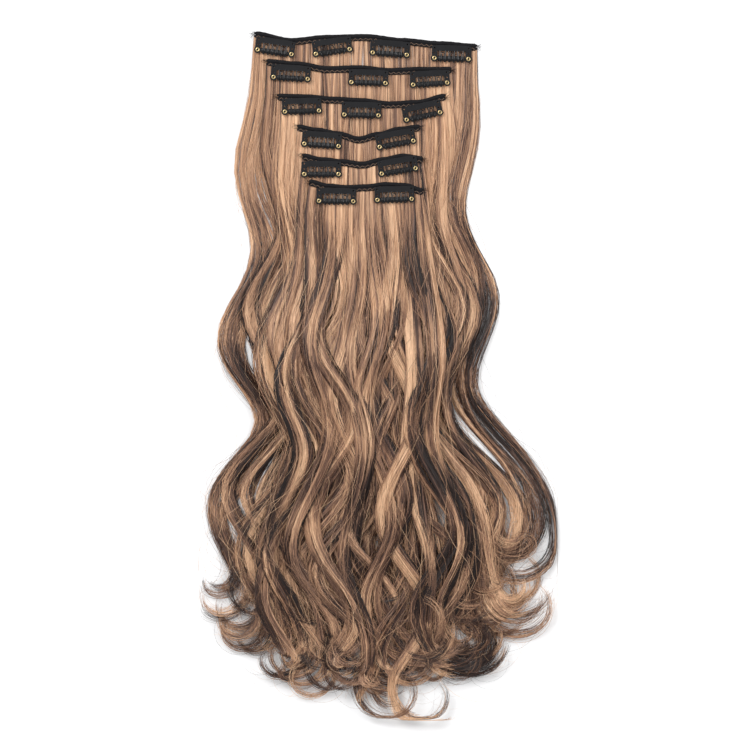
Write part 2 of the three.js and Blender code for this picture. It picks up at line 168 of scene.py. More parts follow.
# materials
def linear(*colour):  # a colour given 0 to 255, as Blender wants it
    shares = [c / 255 for c in colour]
    return tuple(c / 12.92 if c < 0.04 else ((c + 0.055) / 1.055) ** 2.4 for c in shares)


class Wire:  # a socket that takes part in plain arithmetic
    def __init__(self, finish, socket):
        self.finish = finish
        self.socket = socket

    def maths(self, operation, first, second):
        return self.finish.add("ShaderNodeMath", {"operation": operation}, {0: first, 1: second})

    def __add__(self, other):
        return self.maths("ADD", self, other)

    def __sub__(self, other):
        return self.maths("SUBTRACT", self, other)

    def __rsub__(self, other):
        return self.maths("SUBTRACT", other, self)

    def __mul__(self, other):
        return self.maths("MULTIPLY", self, other)

    __radd__ = __add__
    __rmul__ = __mul__


class Finish:
    def __init__(self, name, **fixed):
        self.material = bpy.data.materials.new(name)
        self.material.use_nodes = True
        self.nodes = self.material.node_tree.nodes
        self.links = self.material.node_tree.links
        self.shader = self.nodes["Principled BSDF"]
        for socket, value in fixed.items():
            self.shader.inputs[socket.replace("_", " ")].default_value = value

    def add(self, kind, settings, sockets, output=0):
        node = self.nodes.new(kind)
        for name, value in settings.items():
            setattr(node, name, value)
        for socket, value in sockets.items():
            if isinstance(value, Wire):
                self.links.new(value.socket, node.inputs[socket])
            else:
                node.inputs[socket].default_value = value
        return Wire(self, node.outputs[output])

    def mix(self, share, first, second):  # colours go through Mix
        return self.add("ShaderNodeMix", {"data_type": "RGBA"}, {0: share, 6: first, 7: second}, 2)

    def grain(self, scale, stretch=(1, 1, 1), detail=3.0):
        place = self.add("ShaderNodeTexCoord", {}, {}, 3)
        settings = {"operation": "MULTIPLY"}
        stretched = self.add("ShaderNodeVectorMath", settings, {0: place, 1: stretch})
        sockets = {"Vector": stretched, "Scale": scale, "Detail": detail}
        return self.add("ShaderNodeTexNoise", {}, sockets)

    def send(self, wire, socket):
        self.links.new(wire.socket, self.shader.inputs[socket])

    def bump(self, height, strength, distance):
        sockets = {"Height": height, "Strength": strength, "Distance": distance}
        self.send(self.add("ShaderNodeBump", {}, sockets), "Normal")


def hairFinish():
    hair = Finish("twoToneHair", IOR=1.55, Specular_IOR_Level=0.35)
    tint = hair.add("ShaderNodeAttribute", {"attribute_name": "strandTint"}, {})
    fibre = hair.grain(900, (1.0, 0.06, 1.0), 4.0)
    cloud = hair.grain(28, (1.0, 0.5, 1.0), 2.0)
    deep = hair.mix(1.0, tint, (0.42, 0.36, 0.34, 1))
    deep.socket.node.blend_type = "MULTIPLY"
    streaked = hair.mix((fibre - 0.38) * 1.5, tint, deep)
    warm = hair.mix(0.5, streaked, (*linear(232, 178, 128), 1))
    warm.socket.node.blend_type = "SOFT_LIGHT"
    hair.send(hair.mix(cloud * 0.45, streaked, warm), "Base Color")
    hair.send(fibre * 0.25 + 0.34, "Roughness")
    hair.bump(fibre, 0.25, 0.0003)
    return hair.material


def threadFinish(name, colour, scale):
    cloth = Finish(name, Specular_IOR_Level=0.15)
    weave = cloth.grain(scale, (1.0, 1.0, 1.0), 5.0)
    lighter = tuple(min(1.0, c * 3.2 + 0.01) for c in colour)
    cloth.send(cloth.mix(weave * weave, (*colour, 1), (*lighter, 1)), "Base Color")
    cloth.send(weave * 0.3 + 0.55, "Roughness")
    cloth.bump(weave, 0.7, 0.0006)
    return cloth.material


def plateFinish():
    enamel = Finish("blackEnamel", Coat_Roughness=0.16, Specular_IOR_Level=0.25)
    cloud = enamel.grain(160, detail=3.0)
    fine = enamel.grain(2200, detail=2.0)
    enamel.send(enamel.mix(cloud, (*linear(12, 12, 14), 1), (*linear(24, 24, 28), 1)), "Base Color")
    enamel.send(cloud * 0.18 + 0.16, "Roughness")
    enamel.send(0.3 - cloud * 0.2, "Coat Weight")
    enamel.bump(fine, 0.08, 0.0001)
    return enamel.material


def siliconeFinish():
    silicone = Finish("blackSilicone", Specular_IOR_Level=0.3)
    cloud = silicone.grain(120, detail=3.0)
    silicone.send(silicone.mix(cloud, (*linear(12, 12, 14), 1), (*linear(28, 28, 31), 1)), "Base Color")
    silicone.send(cloud * 0.2 + 0.32, "Roughness")
    silicone.bump(silicone.grain(1400, detail=2.0), 0.12, 0.0002)
    return silicone.material


def eyeletFinish():
    brass = Finish("paleBrass", Metallic=1.0)
    cloud = brass.grain(700, detail=3.0)
    brass.send(brass.mix(cloud, (*linear(222, 204, 158), 1), (*linear(184, 154, 100), 1)), "Base Color")
    brass.send(cloud * 0.22 + 0.2, "Roughness")
    brass.bump(cloud, 0.1, 0.0001)
    return brass.material


finishes = {
    "hair": hairFinish(),
    "band": threadFinish("blackTape", linear(11, 10, 13), 900),
    "thread": threadFinish("blackThread", linear(14, 13, 15), 2400),
    "hem": threadFinish("mutedStitch", linear(104, 84, 70), 2400),
    "plate": plateFinish(),
    "tube": siliconeFinish(),
    "rivet": eyeletFinish(),
}
print("finishes made")


# meshes
def meshFrom(name, points, faces):  # faces: an array with one row of corners for each face
    mesh = bpy.data.meshes.new(name)
    sides = faces.shape[1]
    mesh.vertices.add(len(points))
    mesh.vertices.foreach_set("co", (np.asarray(points) * mm).astype(np.float32).ravel())
    mesh.loops.add(faces.size)
    mesh.loops.foreach_set("vertex_index", faces.astype(np.int32).ravel())
    mesh.polygons.add(len(faces))
    mesh.polygons.foreach_set("loop_start", np.arange(0, faces.size, sides, dtype=np.int32))
    mesh.update(calc_edges=True)
    mesh.polygons.foreach_set("use_smooth", np.ones(len(faces), dtype=bool))
    return mesh


def place(mesh, name, finish, slot, *nodes):
    mesh.materials.append(finishes[finish])
    piece = bpy.data.objects.new(name, mesh)
    bpy.context.scene.collection.objects.link(piece)
    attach(piece, "root")
    if nodes:
        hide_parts(*nodes)
    return piece


def sweep(path, across, up):  # a closed skin; across and up: a row of ring offsets for each point
    path, across, up = np.asarray(path, float), np.asarray(across, float), np.asarray(up, float)
    count, sides = across.shape
    along = np.gradient(path, axis=0)
    along /= np.linalg.norm(along, axis=1, keepdims=True)
    guide = np.array([0.0, 0.0, 1.0])
    side = np.cross(along, guide)
    side /= np.maximum(np.linalg.norm(side, axis=1, keepdims=True), 1e-9)
    rise = np.cross(side, along)
    rings = path[:, None] + across[..., None] * side[:, None] + up[..., None] * rise[:, None]
    points = np.concatenate([rings.reshape(-1, 3), path[:1], path[-1:]])
    ring, corner = np.meshgrid(np.arange(count - 1), np.arange(sides), indexing="ij")
    following = (corner + 1) % sides
    quads = np.stack([ring * sides + corner, ring * sides + following,
                      (ring + 1) * sides + following, (ring + 1) * sides + corner], -1).reshape(-1, 4)
    turn = np.arange(sides)
    onward = (turn + 1) % sides
    start = np.stack([np.full(sides, count * sides), onward, turn, turn], -1)
    end = (count - 1) * sides
    finish = np.stack([np.full(sides, count * sides + 1), end + turn, end + onward, end + onward], -1)
    return points, quads, np.concatenate([start[:, :3], finish[:, :3]])


def tubeAlong(path, radius, sides=6):
    angles = np.arange(sides) * 2 * np.pi / sides
    radii = np.broadcast_to(np.asarray(radius, float), (len(path),))[:, None]
    return sweep(path, radii * np.cos(angles), radii * np.sin(angles))


def joinSkins(name, skins):
    made = bmesh.new()
    for points, quads, caps in skins:
        corners = [made.verts.new(p * mm) for p in points]
        for face in [*quads, *caps]:
            made.faces.new([corners[i] for i in face]).smooth = True
    bmesh.ops.recalc_face_normals(made, faces=made.faces)
    mesh = bpy.data.meshes.new(name)
    made.to_mesh(mesh)
    made.free()
    return mesh


# hair; a run is where a change starts and how far it goes on, in millimetres or as shares of a strand
hair = {
    "strands": 1660, "strays": 180, "sharePower": 0.6,  # in a weft, shared out by the spans of its locks
    "tressPitch": 8.0, "wisps": 3,  # a tress's width at the roots, and the wisps that it parts into
    "width": (0.3, 0.62), "strayWidth": 0.22, "tipLoss": 0.65, "tipPower": 4,
    "wavePoints": 25, "curlPoints": 13, "pointPower": 0.85,
    "deepest": 0.15, "drawnUp": 0.98, "fallLimits": (-0.04, 0.022),
    "curlLimits": (0.6, 1.5), "coilLimits": (-0.8, 0.4), "curlTurns": 0.4,
    "lowSwing": 0.4, "lowSwingRun": (250.0, 130.0), "strayWander": 11.0,
    "outerWefts": 3, "outerLoose": 0.45, "outerGather": 0.6, "gather": 0.36, "gatherRun": (0.4, 0.6),
    "cutShare": 0.28, "cuts": (0.5, 0.12),  # the strands that end early, and how much all of them lose
    "overlap": 1.8, "overlapRun": (0.0, 0.25), "footWidth": 1.2, "leanRun": (0.5, 0.5),
    "curlWidth": 0.55, "curlGather": 0.3,
    "reach": (154.0, -306.0), "beyond": 8.0,  # how far out and how low the ends go, and a soft margin
    "columns": 120, "cellAcross": (0.25, 0.75), "cellAlong": (0.04, 0.92),
}
# how much each tress, each wisp in it and each strand goes its own way, in millimetres or shares
spice = {
    "fall": (0.02, 0.02, 0.003), "shift": (0.08, 0.015, 0.006), "swing": (0.3, 0.05, 0.02),
    "foot": (8.0, 4.0, 1.0), "ripple": (5.5, 1.0, 0.5), "rippleLength": (16.0, 0.0, 0.0),
    "sway": (2.8, 0.6, 0.3), "weave": (0.0, 0.0, 0.5), "curl": (30.0, 35.0, 5.0),
    "coil": (0.2, 0.25, 0.03), "lean": (0.0, 0.0, 0.2),
}
# the small waves that lie over the big ones
small = {
    "ripple": 125.0, "rippleRuns": ((0.45, 70.0, 90.0), (0.6, 200.0, 150.0)),
    "sway": 150.0, "swayRun": (0.0, 70.0),
    "weave": (90.0, 80.0), "weavePhase": 7, "weaveRun": (0.0, 60.0),
    "frizz": 1.4, "frizzRun": (260.0, 200.0),
}
# heights over the layer below
relief = {
    "settledRun": (150.0, 140.0), "level": (0.05, 0.7), "lift": 0.3, "crest": (0.7, 1.8),
    "swell": 2.6, "swellShift": 0.2, "swellShare": (0.4, 1.3), "curlLift": 7.0, "curlArc": 0.8,
    "strayLift": (0.5, 3.5), "strayRun": (0.0, 0.2), "tilt": (0.3, 0.65),
}
# tones, from 0 for the first shade to 1 for the last; streaks start with their size in millimetres
tones = {
    "ribbonAt": 0.8, "ribbonWidth": 0.3, "ribbon": (-0.1, 0.36),
    "darkShare": 0.38, "dark": -0.3, "outerDark": -0.12, "golden": 0.08,
    "broad": (9.0, 0.06), "fine": (2.4, 0.13, 0.32), "thread": (1.0, 0.15, 0.2), "fade": (1.4, 1.3),
    "strand": 0.13, "litLean": 0.25, "lit": 0.32, "bodyRun": (110.0, 90.0),
    "shine": 0.4, "shineShift": 0.08, "shinePower": 3, "unlit": 0.12, "deep": 0.26, "lift": 0.01,
    # the root tone is painted light: hair near the roots made lighter against the shade that the clips
    # and bands cast there
    "foot": 0.12, "footRun": (0.3, 0.6), "root": 0.24, "paintedRootLightRun": (-190.0, 60.0),
    "low": 0.22, "sideRun": (90.0, 50.0), "lowRun": (390.0, 90.0), "stray": 0.12, "curl": 0.08,
    "bright": 0.74, "brightLoss": 0.5,
}
shades = np.array([linear(*colour) for colour in (
    (26, 13, 9), (70, 46, 37), (130, 100, 83), (190, 149, 118), (242, 202, 165))])
streakSteps = 900


def shadeOf(tone):
    place = np.clip(tone, 0, 1) * (len(shades) - 1)
    step = np.minimum(place.astype(int), len(shades) - 2)
    return blend(shades[step], shades[step + 1], (place - step)[..., None])


def streaks(where, size):  # smooth random values, a new one about every size millimetres
    values = dice.normal(0, 1, streakSteps)
    spot = where / size + streakSteps / 2 + dice.uniform(0, 1)
    step = np.floor(spot).astype(int)
    return blend(values[step], values[step + 1], ease(spot - step))


class Bundle:  # the strands of one lock, split into tresses, with their own small changes
    def __init__(self, weft, lock, count, strays, loose):
        wisps = hair["wisps"]
        self.count = count + strays
        self.pitch = lock["span"] * weft["width"]
        self.tresses = max(2, round(self.pitch / hair["tressPitch"]))
        self.tress = dice.integers(0, self.tresses, self.count)
        self.stray = np.arange(self.count) >= count
        self.centre = (self.tress + 0.5) / self.tresses * 2 - 1
        self.local = dice.uniform(-1, 1, self.count)
        part = np.minimum((self.local + 1) * (wisps / 2), wisps - 1).astype(int)
        self.wisp = self.tress * wisps + part
        depth = dice.uniform(hair["deepest"], 1, self.count)
        self.height = np.sqrt(1 - self.local ** 2) * np.sqrt(depth)
        self.change = {}
        for name, (tressSpread, wispSpread, strandSpread) in spice.items():
            own = dice.normal(0, 1, self.count) * np.where(self.stray, hair["strayWander"], 1.0)
            tress = dice.normal(0, 1, self.tresses)[self.tress]
            wisp = dice.normal(0, 1, self.tresses * wisps)[self.wisp]
            self.change[name] = (tress * tressSpread + wisp * wispSpread) * loose + own * strandSpread

    def perTress(self, low=0.0, high=1.0):
        return dice.uniform(low, high, self.tresses)[self.tress]

    def perWisp(self, low, high):
        return dice.uniform(low, high, self.tresses * hair["wisps"])[self.wisp]


def lockPaths(weft, lock, before, bundle):  # x, y, heading, shares of the waves and the curl, turns
    s, h, change = stack, hair, bundle.change
    share = before + lock["span"] / 2
    rootX = weft["left"] + share * weft["width"]
    rootY = bandEdge(weft, share + bundle.centre * lock["span"] / 2) - s["rollHeight"]
    depth = lock["fall"] * s["hairFall"] * h["drawnUp"]
    depth = depth * (1 + np.clip(change["fall"], *h["fallLimits"]))[:, None]
    wave = np.linspace(0, 1, h["wavePoints"])[None] ** h["pointPower"] * np.ones((bundle.count, 1))
    down = wave * depth
    # the big waves, as the solids have them
    turns = (down - rootY[:, None] - s["waveStart"]) / (s["waveLength"] * lock["pace"])
    turns = turns - lock["shift"] - change["shift"][:, None]
    reach = (lock["swing"] + change["swing"])[:, None] * s["waveSwing"] * ease(down / s["waveGrowth"])
    reach = reach * (1 + h["lowSwing"] * ramp(down, *h["lowSwingRun"]))
    drift = (lock["foot"] * s["spread"] / 2 + change["foot"] - rootX)[:, None] * wave ** s["driftDelay"]
    x = rootX + drift + lock["bow"] * s["waveSwing"] * np.sin(np.pi * wave)
    x = x + reach * np.cos(2 * np.pi * turns)
    # the small ones
    rippled = down / (small["ripple"] + change["rippleLength"][:, None]) + bundle.perTress()[:, None]
    rippling = sum(size * ramp(down, start, run) for size, start, run in small["rippleRuns"])
    x = x + change["ripple"][:, None] * rippling * np.sin(2 * np.pi * rippled)
    swayed = down / small["sway"] + 2 * bundle.perTress()[:, None]
    x = x + change["sway"][:, None] * ramp(down, *small["swayRun"]) * np.sin(np.pi * swayed)
    phase = dice.uniform(0, 1, (bundle.count, 1))
    shortest, spread = small["weave"]
    weaved = down / (shortest + spread * phase) + small["weavePhase"] * phase
    loosened = ramp(down, *small["weaveRun"]) * (1 + small["frizz"] * ramp(down, *small["frizzRun"]))
    x = x + change["weave"][:, None] * loosened * np.sin(2 * np.pi * weaved)
    y = rootY[:, None] - down
    heading = np.arctan2(np.gradient(x, axis=1), -np.gradient(y, axis=1))
    heading[:, -1] = 2 * heading[:, -1] - heading[:, -2]
    # the curl
    steps = h["curlPoints"]
    curled = (np.arange(steps) + 1)[None] / steps * np.ones((bundle.count, 1))
    turn = np.radians(lock["curl"] * bundle.perWisp(*h["curlLimits"]) + change["curl"])[:, None]
    radius = s["curlRadius"] * lock["coil"] * np.exp(np.clip(change["coil"], *h["coilLimits"]))[:, None]
    radius = radius * (1 - s["curlTightening"] * curled)
    middle = heading[:, -1:] + turn * (curled - 0.5 / steps)
    stride = radius * np.abs(turn) / steps
    x = np.concatenate([x, x[:, -1:] + np.cumsum(stride * np.sin(middle), 1)], 1)
    y = np.concatenate([y, y[:, -1:] - np.cumsum(stride * np.cos(middle), 1)], 1)
    heading = np.concatenate([heading, heading[:, -1:] + turn * curled], 1)
    turns = np.concatenate([turns, turns[:, -1:] + curled * h["curlTurns"]], 1)
    wave = np.concatenate([wave, np.ones_like(curled)], 1)
    curled = np.concatenate([np.zeros((bundle.count, h["wavePoints"])), curled], 1)
    return np.stack([x, y, heading, wave, curled, turns])


def cutShort(paths, reach):  # the same paths, each ending at its own share of the whole
    total = paths.shape[2]
    spot = np.linspace(0, 1, total)[None] * reach[:, None] * (total - 1)
    step = np.minimum(spot.astype(int), total - 2)
    strand = np.arange(paths.shape[1])[:, None]
    return blend(paths[:, strand, step], paths[:, strand, step + 1], spot - step)


def strandHeights(index, weft, bundle, y, wave, curled, turns):
    r = relief
    settled = ramp(-y, *r["settledRun"])
    level = bundle.perTress(*r["level"])[:, None]
    swollen = turns + bundle.perTress(-r["swellShift"], r["swellShift"])[:, None]
    swell = r["swell"] * np.sin(2 * np.pi * swollen) * settled
    z = layerBase(index, y) + hairThickness(weft, y) * level + r["lift"]
    z = z + bundle.height[:, None] * blend(*r["crest"], settled)
    z = z + swell * bundle.perTress(*r["swellShare"])[:, None]
    z = z + r["curlLift"] * bundle.perTress()[:, None] * np.sin(np.pi * curled * r["curlArc"])
    lifted = np.where(bundle.stray, dice.uniform(*r["strayLift"], bundle.count), 0.0)[:, None]
    z = z + lifted * ramp(wave, *r["strayRun"])
    tilt = -bundle.local[:, None] * blend(*r["tilt"], settled) + bundle.change["lean"][:, None]
    return z, tilt


def strandTones(lock, bundle, outer, root, x, y, wave, curled, turns):
    t = tones
    along = np.linspace(0, 1, x.shape[1])[None]
    # a lighter strip in each tress, and dark tresses among golden ones
    off = bundle.local - bundle.perTress(-t["ribbonAt"], t["ribbonAt"])
    ribbon = np.exp(-(off / t["ribbonWidth"]) ** 2) * bundle.perTress(*t["ribbon"])
    brown = t["outerDark"] if outer else t["dark"]
    dark = np.where(bundle.perTress() < t["darkShare"], brown, t["golden"])
    # streaks that run from the roots, and single strands that catch the light
    size, strength = t["broad"]
    broad = lock["tone"] + strength * streaks(root, size) + dice.normal(0, t["strand"], bundle.count)
    broad = broad + np.where(bundle.change["lean"] > t["litLean"], t["lit"], 0.0)
    steepness, rate = t["fade"]
    change = ease(0.5 + steepness * np.sin(2 * np.pi * (along * rate + bundle.perTress()[:, None])))
    size, atRoot, below = t["fine"]
    fine = blend(streaks(root, size)[:, None], streaks(root, size)[:, None], change)
    body = ramp(-y, *t["bodyRun"])
    threadSize, threadAtRoot, threadBelow = t["thread"]
    thread = streaks(root, threadSize)[:, None] * blend(threadAtRoot, threadBelow, body)
    tone = broad[:, None] + thread + blend(atRoot, below, body) * fine
    tone = tone + (ribbon + dark)[:, None] * body
    # shine where a wave turns, and shade for the strands that lie deep
    shifted = turns + bundle.perTress(-t["shineShift"], t["shineShift"])[:, None]
    crest = np.sin(2 * np.pi * shifted) ** 2
    tone = tone + body * (t["shine"] * (1 - crest) ** t["shinePower"] - t["unlit"])
    tone = tone - t["deep"] * (1 - bundle.height[:, None]) + t["lift"]
    tone = tone - t["foot"] * ramp(wave, *t["footRun"])
    # painted light: hair near the roots made lighter, against the shade that the clips and bands cast on
    # it
    paintedRootLight = ramp(y, *t["paintedRootLightRun"])
    low = ramp(x - shiftX, *t["sideRun"]) * ramp(-y, *t["lowRun"])
    tone = tone + np.where(bundle.stray, t["stray"], 0.0)[:, None]
    tone = tone + t["root"] * paintedRootLight + t["low"] * low
    tone = tone + t["curl"] * ease(curled) * bundle.perTress()[:, None]
    return tone - t["brightLoss"] * np.maximum(tone - t["bright"], 0)


def lockStrands(index, weft, lock, before, count, strays):
    h = hair
    outer = index < h["outerWefts"] and (lock is weft["locks"][0] or lock is weft["locks"][-1])
    bundle = Bundle(weft, lock, count, strays, h["outerLoose"] if outer else 1.0)
    paths = lockPaths(weft, lock, before, bundle)
    early = dice.uniform(0, 1, bundle.count) < h["cutShare"]
    reach = 1 - dice.uniform(0, 1, bundle.count) * np.where(early, *h["cuts"])
    x, y, heading, wave, curled, turns = cutShort(paths, reach)
    along = np.linspace(0, 1, x.shape[1])[None]
    width = bundle.pitch * blend(1.0, h["footWidth"] * lock["full"], wave)
    width = width * blend(1.0, h["curlWidth"], curled)
    drawn = h["outerGather"] if outer else h["gather"]
    gather = blend(1.0, h["overlap"], ramp(wave, *h["overlapRun"]))
    gather = gather * blend(1.0, drawn, ramp(wave, *h["gatherRun"]))
    gather = gather * blend(1.0, h["curlGather"], ease(curled))
    across = bundle.centre[:, None] + bundle.local[:, None] * gather / bundle.tresses
    lean = heading * ramp(wave, *h["leanRun"])
    x = x + across * width / 2 * np.cos(lean) + shiftX
    y = y + across * width / 2 * np.sin(lean)
    side, foot = h["reach"]
    past = np.maximum(np.abs(x) - side, 0)
    x = np.sign(x) * (np.minimum(np.abs(x), side) + h["beyond"] * np.tanh(past / h["beyond"]))
    past = np.maximum(foot - y - shiftY, 0)
    y = np.maximum(y, foot - shiftY) - h["beyond"] * np.tanh(past / h["beyond"])
    z, tilt = strandHeights(index, weft, bundle, y, wave, curled, turns)
    half = np.where(bundle.stray, h["strayWidth"], dice.uniform(*h["width"], bundle.count))[:, None] / 2
    half = half * (1 - h["tipLoss"] * along ** h["tipPower"])
    side = np.stack([np.cos(heading) * np.cos(tilt), np.sin(heading) * np.cos(tilt),
                     np.sin(tilt) + 0 * heading], -1)
    middle = np.stack([x, y + shiftY, np.maximum(z, relief["lift"])], -1)
    points = np.stack([middle - side * half[..., None], middle + side * half[..., None]], 2)
    root = weft["left"] + (before + lock["span"] * (across[:, 0] + 1) / 2) * weft["width"]
    return points, shadeOf(strandTones(lock, bundle, outer, root, x, y, wave, curled, turns))


def strandMesh(index, weft):
    weights = np.array([lock["span"] ** hair["sharePower"] for lock in weft["locks"]])
    shares = weights / weights.sum()
    made, before = [], 0.0
    for lock, share in zip(weft["locks"], shares):
        count, strays = round(hair["strands"] * share), round(hair["strays"] * share)
        made.append(lockStrands(index, weft, lock, before, count, strays))
        before += lock["span"]
    points = np.concatenate([one[0] for one in made])
    colours = np.concatenate([one[1] for one in made])
    count, total = points.shape[:2]
    strand, row = np.meshgrid(np.arange(count), np.arange(total - 1), indexing="ij")
    first = strand * total * 2 + row * 2
    quads = np.stack([first, first + 1, first + 3, first + 2], -1).reshape(-1, 4)
    mesh = meshFrom(f"strands_{index + 1}", points.reshape(-1, 3), quads)
    tint = mesh.color_attributes.new("strandTint", "FLOAT_COLOR", "POINT")
    both = np.repeat(colours[:, :, None], 2, axis=2).reshape(-1, 3)
    solid = np.column_stack([both, np.ones(len(both))])
    tint.data.foreach_set("color", solid.astype(np.float32).ravel())
    # every strand has a cell of its own in the map
    columns = hair["columns"]
    rows = math.ceil(count / columns)
    column, line = np.arange(count) % columns, np.arange(count) // columns
    low, run = hair["cellAlong"]
    u = (column[:, None, None] + np.array(hair["cellAcross"])) / columns + np.zeros((1, total, 1))
    v = line[:, None, None] + low + run * np.linspace(0, 1, total)[None, :, None]
    v = v / rows + np.zeros((1, 1, 2))
    flat = np.stack([u, v], -1).reshape(-1, 2)
    cells = mesh.uv_layers.new(name="OFBake")
    cells.data.foreach_set("uv", flat[quads.ravel()].astype(np.float32).ravel())
    return mesh


for index, weft in enumerate(wefts):
    order = index + 1
    piece = place(strandMesh(index, weft), f"strands_{order}", "hair", "hair", f"weft_{order}_hair")
    print(piece.name, len(piece.data.polygons) * 2, "triangles")

# bands
band = {
    "stations": 84, "sides": 14, "lump": 0.05, "endGrowth": 60, "endSize": 0.35,
    "hemTuck": 0.8, "hemHalf": 0.45,  # how far the hem goes in under the roll, and half its thickness
    "stitchPitch": 2.3, "stitchRadius": 0.24, "stitchSpan": (0.01, 0.99), "stitchDrop": 4.8,
    "stitchSwing": 0.85, "stitchJitter": 0.12, "stitchHeight": 0.95,
}
fray = {
    "threads": 8, "points": 7, "radius": 0.16, "inside": 1.0, "reach": (2.5, 6.5), "bend": 2.2,
    "drop": (0.4, 4.5), "height": (0.2, 1.4), "rise": 0.5,
}


def bandSkins(index, weft):
    share = np.linspace(0, 1, band["stations"])
    x = weft["left"] + share * weft["width"] + shiftX
    top = bandEdge(weft, share)
    base = layerBase(index, top) + stack["rootThickness"] + stack["clearance"]
    ends = np.minimum(1, np.minimum(share, 1 - share) * band["endGrowth"] + band["endSize"])[:, None]
    angles = np.arange(band["sides"]) * 2 * np.pi / band["sides"]
    rough = 1 + dice.normal(0, band["lump"], (band["stations"], band["sides"]))
    rollMiddle = top - stack["rollHeight"] / 2 + shiftY
    roll = np.column_stack([x, rollMiddle, base + stack["rollThickness"] / 2])
    rolled = sweep(roll, ends * rough * np.cos(angles) * stack["rollHeight"] / 2,
                   ends * rough * np.sin(angles) * stack["rollThickness"] / 2)
    hemHeight = stack["bandHeight"] - stack["rollHeight"] + band["hemTuck"]
    hemMiddle = top - stack["bandHeight"] + hemHeight / 2 + shiftY
    hem = np.column_stack([x, hemMiddle, base + band["hemHalf"]])
    flat = sweep(hem, ends * rough * np.cos(angles) * hemHeight / 2,
                 ends * np.sin(angles) * band["hemHalf"])
    return [rolled, flat], (x, top, base)


def zigzag(weft, x, top, base):
    count = int(weft["width"] / band["stitchPitch"])
    share = np.linspace(*band["stitchSpan"], count)
    known = np.linspace(0, 1, len(x))
    swing = np.where(np.arange(count) % 2, band["stitchSwing"], -band["stitchSwing"])
    px = np.interp(share, known, x)
    py = np.interp(share, known, top) + shiftY - band["stitchDrop"]
    py = py + swing + dice.normal(0, band["stitchJitter"], count)
    pz = np.interp(share, known, base) + band["stitchHeight"]
    return tubeAlong(np.column_stack([px, py, pz]), band["stitchRadius"], 5)


def frays(x, top, base):
    skins = []
    for end, way in ((0, -1), (-1, 1)):
        for _ in range(fray["threads"]):
            run = np.linspace(0, 1, fray["points"])
            reach = dice.uniform(*fray["reach"])
            bend = dice.normal(0, fray["bend"])
            px = x[end] + way * (run * reach - fray["inside"])
            py = top[end] + shiftY - dice.uniform(*fray["drop"]) + bend * run ** 2
            pz = base[end] + dice.uniform(*fray["height"]) + dice.normal(0, fray["rise"]) * run
            skins.append(tubeAlong(np.column_stack([px, py, pz]), fray["radius"] * (1 - 0.5 * run), 4))
    return skins


for index, weft in enumerate(wefts):
    skins, (x, top, base) = bandSkins(index, weft)
    order = index + 1
    rolled = joinSkins(f"rolledBand_{order}", skins)
    place(rolled, f"rolledBand_{order}", "band", "band", f"weft_{order}_band")
    stitched = joinSkins(f"hemStitch_{order}", [zigzag(weft, x, top, base)])
    place(stitched, f"hemStitch_{order}", "hem", "band")
    frayed = joinSkins(f"frayedEnds_{order}", frays(x, top, base))
    place(frayed, f"frayedEnds_{order}", "thread", "band")
print("bands sewn")

# clips
clip = {
    "eyeletSpacing": 30.8, "eyeletRadius": 2.15, "eyeletHole": 0.85, "earWidth": 5.0, "earEnd": 3.2,
    "thickness": 0.8, "bevel": 0.14, "barHeight": 5.5, "barTop": 12.0, "barArch": 0.9,
    "barBend": 3, "sewHole": 0.68, "sewHoles": (4.7, 9.4), "lip": 0.5, "holeSides": 20,
    "teeth": 6, "toothPitch": 3.94, "toothReach": 3.7, "wire": 0.46, "legSpread": 0.6, "wireTuck": 0.4,
    "archTop": 5.3, "archHeight": 1.2, "crest": 1.55, "crestAt": -0.9, "wireEnds": (0.15, 0.4),
    "wireBack": 7.5, "tubeLength": 24.4, "tubeHeight": 4.7, "tubeThickness": 2.4, "tubeSides": 20,
    "stripWidth": 2.6, "stripThickness": 0.6, "stripDrop": 0.3, "stripSides": 12, "stripHalf": 12,
    "eyeletStand": 0.5, "eyeletSides": 24,
}


def plateOutline():
    c = clip
    half, reach = c["eyeletSpacing"] / 2, c["earWidth"] / 2
    start = math.acos(reach / c["earEnd"])
    sweepOut = np.linspace(math.pi - start, 2 * math.pi + start, 22)
    ear = np.column_stack([np.cos(sweepOut), np.sin(sweepOut)]) * c["earEnd"]
    run = np.linspace(1, -1, 25)
    edge = c["barTop"] - c["barArch"] * np.abs(run) ** c["barBend"]
    arch = np.column_stack([run * (half + reach), edge])
    low = c["barTop"] - c["barHeight"]
    inner = [[-half + reach, low], [half - reach, low]]
    return np.concatenate([ear - [half, 0], inner, ear + [half, 0], arch])


def flatPlate():
    c = clip
    curve = bpy.data.curves.new("plateOutline", "CURVE")
    curve.dimensions, curve.fill_mode = "2D", "BOTH"
    curve.extrude = c["thickness"] / 2 - c["bevel"]
    curve.bevel_depth, curve.bevel_resolution, curve.offset = c["bevel"], 2, -c["bevel"]
    turn = np.linspace(0, 2 * math.pi, c["holeSides"], endpoint=False)
    circle = np.column_stack([np.cos(turn), np.sin(turn)])
    loops = [plateOutline()]
    for side in (-1, 1):
        middle = np.array([side * c["eyeletSpacing"] / 2, 0.0])
        loops.append(circle * (c["eyeletRadius"] - c["lip"]) + middle)
        loops += [circle * c["sewHole"] + middle + [0, y] for y in c["sewHoles"]]
    for loop in loops:
        spline = curve.splines.new("POLY")
        spline.points.add(len(loop) - 1)
        flat = np.column_stack([loop, np.zeros(len(loop)), np.ones(len(loop))])
        spline.points.foreach_set("co", flat.ravel())
        spline.use_cyclic_u = True
    holder = bpy.data.objects.new("plateOutline", curve)
    bpy.context.scene.collection.objects.link(holder)
    bpy.context.view_layer.update()
    settled = holder.evaluated_get(bpy.context.evaluated_depsgraph_get())
    mesh = bpy.data.meshes.new_from_object(settled)
    bpy.data.objects.remove(holder)
    mesh.transform(Matrix.Translation((0, 0, c["thickness"] / 2)))
    return mesh


